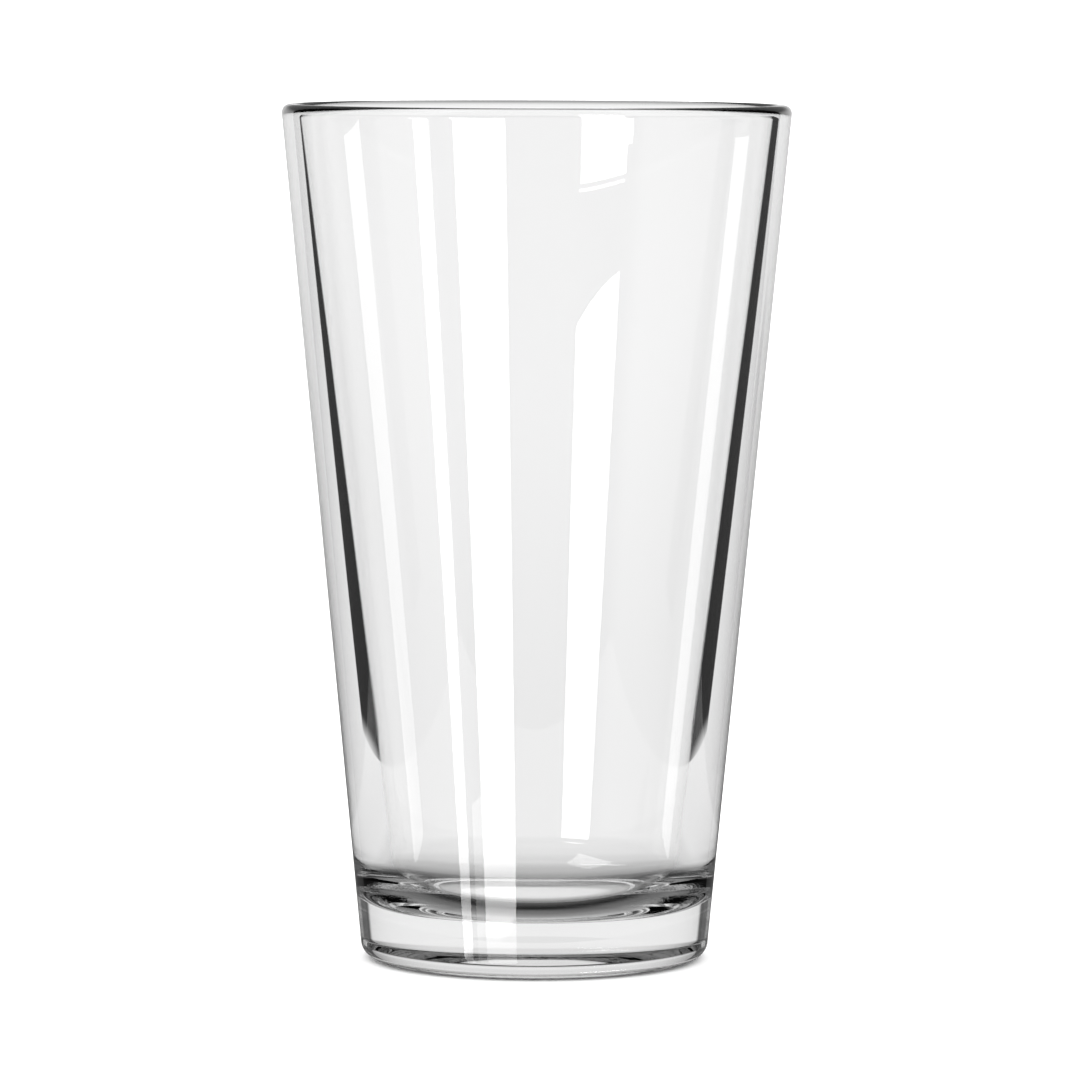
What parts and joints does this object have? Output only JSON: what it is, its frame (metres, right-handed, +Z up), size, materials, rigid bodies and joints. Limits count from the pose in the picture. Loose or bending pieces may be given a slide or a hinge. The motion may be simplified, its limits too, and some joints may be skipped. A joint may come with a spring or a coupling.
{
  "type": "mixing glass",
  "caption": "Tall tapered clear glass tumbler with a thick floor and a rounded rim, for mixing, shaking and serving drinks.",
  "frame": {"origin": "centre of the foot, on the plane that the glass stands on", "axes": "+Z up along the axis of the glass, from the foot to the rim; X and Y lie in the table plane and are alike"},
  "size_m": [0.0886, 0.0886, 0.1492],
  "materials": {
    "clear_glass": "polished clear, fire-finished"
  },
  "bodies": {
    "root": {"mixing_glass": "clear_glass"}
  },
  "joints": []
}
